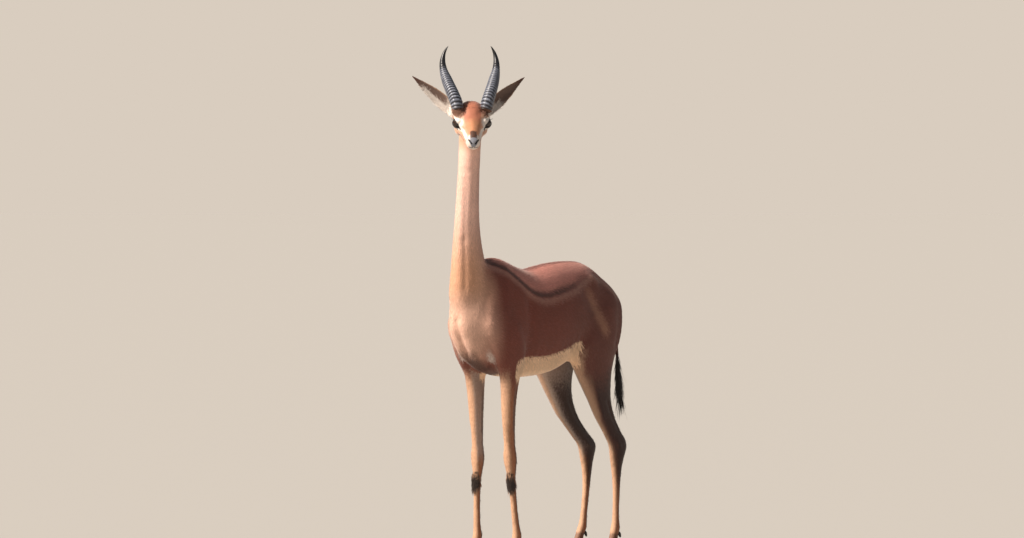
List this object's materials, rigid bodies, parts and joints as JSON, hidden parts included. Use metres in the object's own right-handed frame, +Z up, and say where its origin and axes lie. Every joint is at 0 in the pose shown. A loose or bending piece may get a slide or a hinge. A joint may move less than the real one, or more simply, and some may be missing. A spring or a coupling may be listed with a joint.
{
  "type": "male gerenuk",
  "caption": "Standing male gerenuk with a long slender neck, ringed lyre-shaped horns, wide ears and thin legs, its head turned to its left.",
  "frame": {"origin": "on the floor, under the middle of the model's box", "axes": "+Z up, -Y the way the body faces, +X the animal's left"},
  "size_m": [0.2848, 0.9744, 1.6837],
  "materials": {
    "coat": "short smooth coat of hair, reddish fawn with a darker saddle and a white belly",
    "tuft": "long dark hair",
    "horn": "ringed horn, satin, dark grey to black",
    "hoof": "dark horn, satin",
    "eye": "wet and glossy, dark brown"
  },
  "bodies": {
    "root": {"ear_left": "coat", "ear_right": "coat", "eye_left": "eye", "eye_right": "eye", "foredewclaw_left_inner": "hoof", "foredewclaw_left_outer": "hoof", "foredewclaw_right_inner": "hoof", "foredewclaw_right_outer": "hoof", "forehoof_left_inner": "hoof", "forehoof_left_outer": "hoof", "forehoof_right_inner": "hoof", "forehoof_right_outer": "hoof", "foreleg_left_lower": "coat", "foreleg_left_upper": "coat", "foreleg_right_lower": "coat", "foreleg_right_upper": "coat", "head": "coat", "hinddewclaw_left_inner": "hoof", "hinddewclaw_left_outer": "hoof", "hinddewclaw_right_inner": "hoof", "hinddewclaw_right_outer": "hoof", "hindhoof_left_inner": "hoof", "hindhoof_left_outer": "hoof", "hindhoof_right_inner": "hoof", "hindhoof_right_outer": "hoof", "hindleg_left_lower": "coat", "hindleg_left_upper": "coat", "hindleg_right_lower": "coat", "hindleg_right_upper": "coat", "horn_left": "horn", "horn_right": "horn", "neck": "coat", "tail": "coat", "tail_tuft": "tuft", "torso": "coat"}
  },
  "joints": []
}
